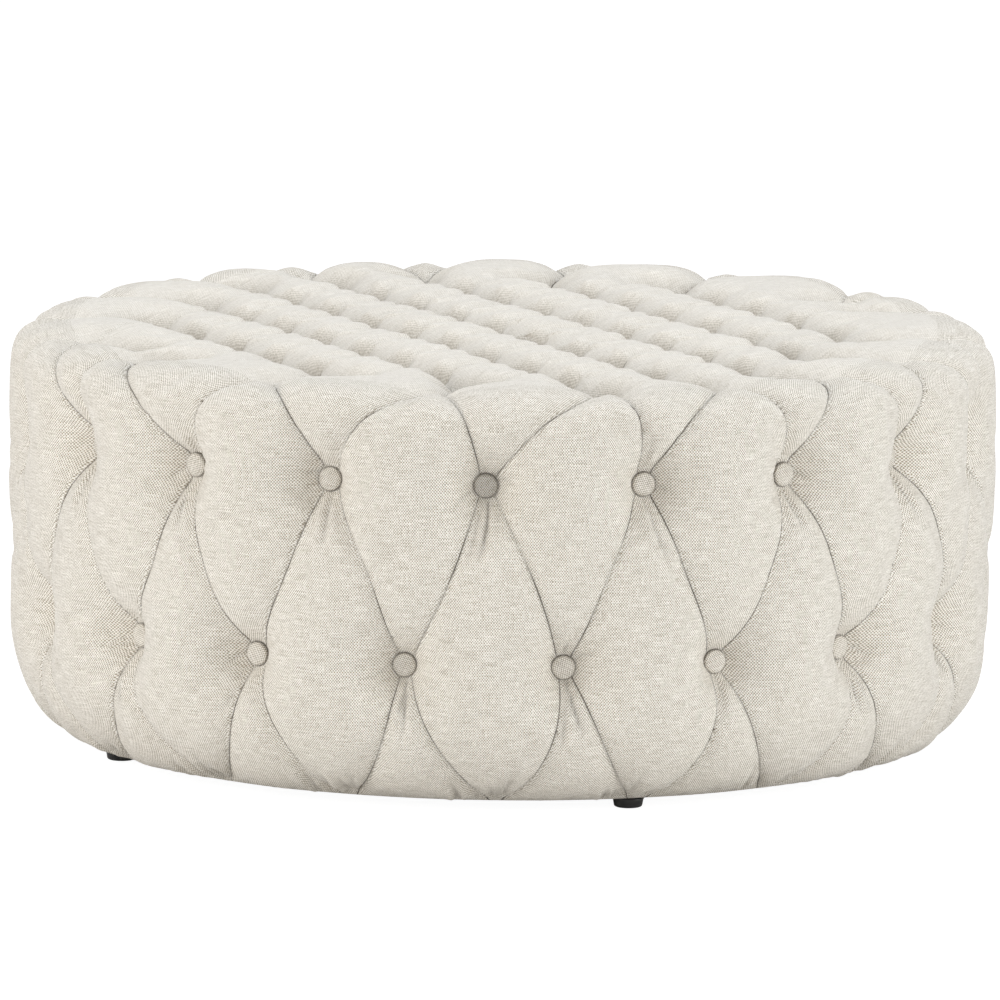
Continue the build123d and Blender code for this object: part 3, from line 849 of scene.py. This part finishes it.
def weaveMap(mesh, rest, turn, path):
    # the side's weave runs round and upright, the top's along its rows
    loops = np.empty(len(mesh.loops), dtype=np.int64)
    mesh.loops.foreach_get("vertex_index", loops)
    starts = np.empty(len(mesh.polygons), dtype=np.int64)
    mesh.polygons.foreach_get("loop_start", starts)
    totals = np.empty(len(mesh.polygons), dtype=np.int64)
    mesh.polygons.foreach_get("loop_total", totals)
    face = np.repeat(np.arange(len(starts)), totals)
    angle = turn[loops]
    low = np.minimum.reduceat(angle, starts)[face]
    high = np.maximum.reduceat(angle, starts)[face]
    angle = np.where((high - low > 180) & (angle < 0), angle + 360, angle)
    crest = float(pathAt(crestRadius, topHeight(crestRadius)))
    onTop = (np.add.reduceat(path[loops], starts) / totals > crest)[face]
    u = np.where(onTop, rest[loops, 0] * 1.2, np.radians(angle) * coverShape["radius"])
    v = np.where(onTop, rest[loops, 1] * 1.2 + 3, path[loops])
    layer = mesh.uv_layers.new(name="weave")
    layer.data.foreach_set("uv", np.stack([u, v], axis=1).astype(np.float32).ravel())


cover = coverPiece()
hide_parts("tufted_cover")


# Covered buttons

buttonShape = {
    "outline": [(0, 0), (0.0100, 0), (0.0113, 0.0009), (0.0122, 0.0023), (0.0125, 0.0038), (0.0121, 0.0054),
                (0.0110, 0.0067), (0.0088, 0.0076), (0.0060, 0.0080), (0.0030, 0.0081), (0, 0.0081)],
    "steps": 28,
    "seatRadius": 0.460,
    "seatWidth": 0.0145,
    "clearance": 0.0003,
    "tilt": 4,             # degrees
    "dull": 10,            # the upper row's button that the photograph shows darker
    "dullTone": 0.68,
    "tones": (0.86, 0.97),
    "edge": (0.0112, 0.0012),  # where the painted shade at a button's edge starts, and its width
    "mapScale": (1.15, -12),   # of the weave, at the base and for each metre up
}


def buttonFrames(kind):
    # where each button of a row stands, with its own Z outwards
    frames = []
    shape = buttonShape
    lower, upper = sideButtons()
    if kind in ("lower", "upper"):
        height = layout[kind + "Row"]
        flat = math.sqrt(shape["seatRadius"] ** 2 - shape["seatWidth"] ** 2) + shape["clearance"]
        for turn, path in (lower if kind == "lower" else upper):
            a = math.radians(turn)
            out = Vector((math.sin(a), math.cos(a), 0))
            facing = out.to_track_quat("Z", "Y").to_matrix().to_4x4()
            frames.append(Matrix.Translation(out * flat + Vector((0, 0, height))) @ facing)
    else:
        for place in (rimPlaces() if kind == "rim" else innerPlaces()):
            x, y = flatPlace(place)
            frames.append(Matrix.Translation((x, y, seatHeight(math.hypot(x, y)) + shape["clearance"])))
    spin = Matrix.Rotation(math.radians(layout["turn"]), 4, "Z")
    return [spin @ frame for frame in frames]


def buttonPiece(kind, node, material):
    bm = bmesh.new()
    bm.loops.layers.uv.new("weave")
    tones = []
    for number, frame in enumerate(buttonFrames(kind)):
        one = spun(buttonShape["outline"], buttonShape["steps"])
        layer = one.loops.layers.uv.new("weave")
        corner = Vector((random.random(), random.random()))
        scale, shrink = buttonShape["mapScale"]
        for face in one.faces:
            for loop in face.loops:
                loop[layer].uv = loop.vert.co.xy * (scale + loop.vert.co.z * shrink) + corner
        lean = math.radians(random.uniform(-1, 1) * buttonShape["tilt"])
        tilt = Matrix.Rotation(lean, 4, random.choice("XY"))
        turn = Matrix.Rotation(random.uniform(0, 2 * math.pi), 4, "Z")
        dull = kind == "upper" and number == buttonShape["dull"]
        tone = buttonShape["dullTone"] if dull else random.uniform(*buttonShape["tones"])
        # painted shade: each button darkened towards its edge, where it meets the cover
        start, width = buttonShape["edge"]
        for vert in one.verts:
            edge = max(0, min(1, (vert.co.xy.length - start) / width))
            tones.append(tone * (1 - 0.5 * edge))
        bmesh.ops.transform(one, matrix=frame @ turn @ tilt, verts=one.verts[:])
        held = bpy.data.meshes.new("held")
        one.to_mesh(held)
        one.free()
        bm.from_mesh(held)
        bpy.data.meshes.remove(held)
    piece = made(bm, node.replace("_", "-"), material, "button_linen")
    keepAttribute(piece.data, "tone", tones)
    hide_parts(node)


buttonLinen = linen("button linen", False)
buttonNodes = {"lower": "lower_row_buttons", "upper": "upper_row_buttons",
               "rim": "rim_buttons", "top": "top_buttons"}
for kind, node in buttonNodes.items():
    buttonPiece(kind, node, buttonLinen)
print("stage: buttons made")


# Foam, dust cover and glides

def rounded(outline, spots, reach, steps, segments):
    # a spun outline with some of its corners rounded
    bm = spun(outline, steps, closed=outline[0][0] > 0)
    edges = [e for e in bm.edges for r, z in spots
             if all(abs(v.co.xy.length - r) < 1e-5 and abs(v.co.z - z) < 1e-5 for v in e.verts)]
    bmesh.ops.bevel(bm, geom=edges, offset=reach, offset_type="OFFSET", affect="EDGES",
                    segments=segments, profile=0.5, material=-1)
    return bm


foamShape = {"slabEdge": 0.004, "bandEdge": 0.003, "bandWall": 0.031, "bandSlope": 0.0245, "steps": 144}


def foamPieces():
    material = foam("cream foam")
    low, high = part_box("top_foam")
    r, z0, z1 = high.x, low.z, high.z
    corners = [(0, z0), (r / 2, z0), (r, z0), (r, z1), (r / 2, z1), (0, z1)]
    slab = rounded(corners, corners[2:4], foamShape["slabEdge"], foamShape["steps"], 3)
    piece = made(slab, "foamSlab", material, "foam")
    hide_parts("top_foam")
    low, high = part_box("side_foam")
    r, z0, z1 = high.x, low.z, high.z
    inner, slope = r - foamShape["bandWall"], foamShape["bandSlope"]
    corners = [(inner, z0), (r - slope, z0), (r, z0 + slope), (r, z1), (inner, z1)]
    band = rounded(corners, corners[1:4], foamShape["bandEdge"], foamShape["steps"], 3)
    piece = made(band, "foamBand", material, "foam")
    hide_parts("side_foam")


dustShape = {"rings": 26, "steps": 96, "sag": 0.0014}


def dustPiece():
    low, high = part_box("dust_cover")
    radii = [high.x * k / dustShape["rings"] for k in range(dustShape["rings"] + 1)]
    outline = [(radius, low.z) for radius in radii] + [(radius, high.z) for radius in reversed(radii)]
    bm = spun(outline, dustShape["steps"])
    for vert in bm.verts:
        inside = 1 - (vert.co.xy.length / high.x) ** 6
        ripple = noise.noise(Vector((vert.co.x * 9, vert.co.y * 5, 1)))
        vert.co.z -= inside * dustShape["sag"] * (0.5 + ripple)
    piece = made(bm, "dustSheet", blackCloth("black dust cloth"), "black_cloth")
    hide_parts("dust_cover")


glideShape = {
    "toe": [(0.0046, 0), (0.0030, 0.0006), (0.0020, 0.0018)],  # inwards and up from the foot's edge
    "head": [(0.0010, 0.0022), (0.0003, 0.0010), (0, 0.0004), (0.0005, 0)],  # inwards and down from its top
}


def glidePieces():
    material = plastic("black glide")
    for number in range(1, 5):
        low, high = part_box(f"foot_{number}")
        top, r = high.z, (high.x - low.x) / 2
        outline = [(0, 0)] + [(r - inwards, up) for inwards, up in glideShape["toe"]]
        outline += [(r - inwards, top - down) for inwards, down in glideShape["head"]] + [(0, top)]
        bm = spun(outline, 48)
        bmesh.ops.translate(bm, verts=bm.verts[:], vec=((low.x + high.x) / 2, (low.y + high.y) / 2, 0))
        piece = made(bm, f"glide{number}", material, "black_plastic")
        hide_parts(f"foot_{number}")


def frameFinishes():
    finishes = [(ply("birch plywood"), ("side_hoop", "deck_panel", "base_ring")),
                (softwood("pine"), ("base_rail", "centre_post", "post_")),
                (metal("zinc steel", (0.62, 0.61, 0.58), 0.38), ("deck_screws", "foot_screws")),
                (metal("staple steel", (0.66, 0.66, 0.65), 0.30), ("dust_cover_staples",))]
    for material, starts in finishes:
        for name, node in frame["nodes"].items():
            if name.startswith(starts):
                node.data.materials.clear()
                node.data.materials.append(material)


foamPieces()
dustPiece()
glidePieces()
frameFinishes()
print("stage: foam, dust cover and glides made")


# Floor, lights and camera

stageLook = {"floor": 0.90, "whiteShare": 0.80, "white": 1.2, "world": 0.50, "floorSize": 40}
lampLook = {  # power, size, place and colour
    "left": (66, 2.0, (-3.6, -2.0, 1.35), (1, 1, 1)),
    "right": (66, 2.0, (3.6, -2.0, 1.35), (0.94, 0.97, 1.0)),
    "front": (14, 2.4, (0, -4.4, 0.4), (1, 1, 1)),
    "top": (53, 2.6, (0.1, 0.3, 3.4), (0.84, 0.91, 1.0)),
}
cameraLook = {"lens": 821.5, "distance": 23.562, "elevation": 8.8, "roll": 0.66,
              "target": (-0.0017, 0, 0.2538)}


def floorPiece():
    bm = bmesh.new()
    bmesh.ops.create_grid(bm, x_segments=4, y_segments=4, size=stageLook["floorSize"])
    mesh = bpy.data.meshes.new("floor")
    bm.to_mesh(mesh)
    bm.free()
    finish = Finish("pale floor", Roughness=0.9, Base_Color=(stageLook["floor"],) * 3 + (1,))
    tree = finish.tree
    output = next(n for n in tree.nodes if n.type == "OUTPUT_MATERIAL")
    seen = finish.out(finish.node("LightPath"), "Is Camera Ray")
    white = finish.node("Emission", Color=(1, 1, 1, 1), Strength=stageLook["white"])
    back = finish.out(finish.node("NewGeometry"), "Backfacing")
    clear = finish.node("BsdfTransparent")
    mixed = finish.node("MixShader", Fac=seen * stageLook["whiteShare"])
    tree.links.new(finish.shader.outputs[0], mixed.inputs[1])
    tree.links.new(white.outputs[0], mixed.inputs[2])
    shown = finish.node("MixShader", Fac=back)
    tree.links.new(mixed.outputs[0], shown.inputs[1])
    tree.links.new(clear.outputs[0], shown.inputs[2])
    tree.links.new(shown.outputs[0], output.inputs[0])
    mesh.materials.append(finish.material)
    floor = bpy.data.objects.new("floor", mesh)
    scene.collection.objects.link(floor)


def lamp(name, power, size, place, colour):
    data = bpy.data.lights.new(name, "AREA")
    data.energy, data.size, data.color = power, size, colour
    light = bpy.data.objects.new(name, data)
    light.location = place
    light.rotation_euler = (Vector((0, 0, 0.25)) - Vector(place)).to_track_quat("-Z", "Y").to_euler()
    scene.collection.objects.link(light)


def studio():
    world = bpy.data.worlds.new("studio")
    scene.world = world
    world.use_nodes = True
    tree = world.node_tree
    output = next(n for n in tree.nodes if n.type == "OUTPUT_WORLD")
    mixed = tree.nodes.new("ShaderNodeMixShader")
    path = tree.nodes.new("ShaderNodeLightPath")
    tree.links.new(path.outputs["Is Camera Ray"], mixed.inputs["Fac"])
    for place, strength in ((1, stageLook["world"]), (2, 1.0)):
        background = tree.nodes.new("ShaderNodeBackground")
        background.inputs["Color"].default_value = (1, 1, 1, 1)
        background.inputs["Strength"].default_value = strength
        tree.links.new(background.outputs[0], mixed.inputs[place])
    tree.links.new(mixed.outputs[0], output.inputs["Surface"])
    for name, look in lampLook.items():
        lamp(name, *look)


def camera():
    data = bpy.data.cameras.new("camera")
    data.lens = cameraLook["lens"]
    data.sensor_width = 36
    data.clip_end = 200
    cam = bpy.data.objects.new("camera", data)
    e = math.radians(cameraLook["elevation"])
    back = Vector((0, -math.cos(e), math.sin(e)))
    cam.location = Vector(cameraLook["target"]) + back * cameraLook["distance"]
    roll = Matrix.Rotation(math.radians(cameraLook["roll"]), 3, "Z")
    turn = (-back).to_track_quat("-Z", "Y").to_matrix() @ roll
    cam.rotation_euler = turn.to_euler()
    scene.collection.objects.link(cam)
    scene.camera = cam


floorPiece()
studio()
camera()
scene.view_settings.view_transform = "Standard"
print("stage: floor, lights and camera set")
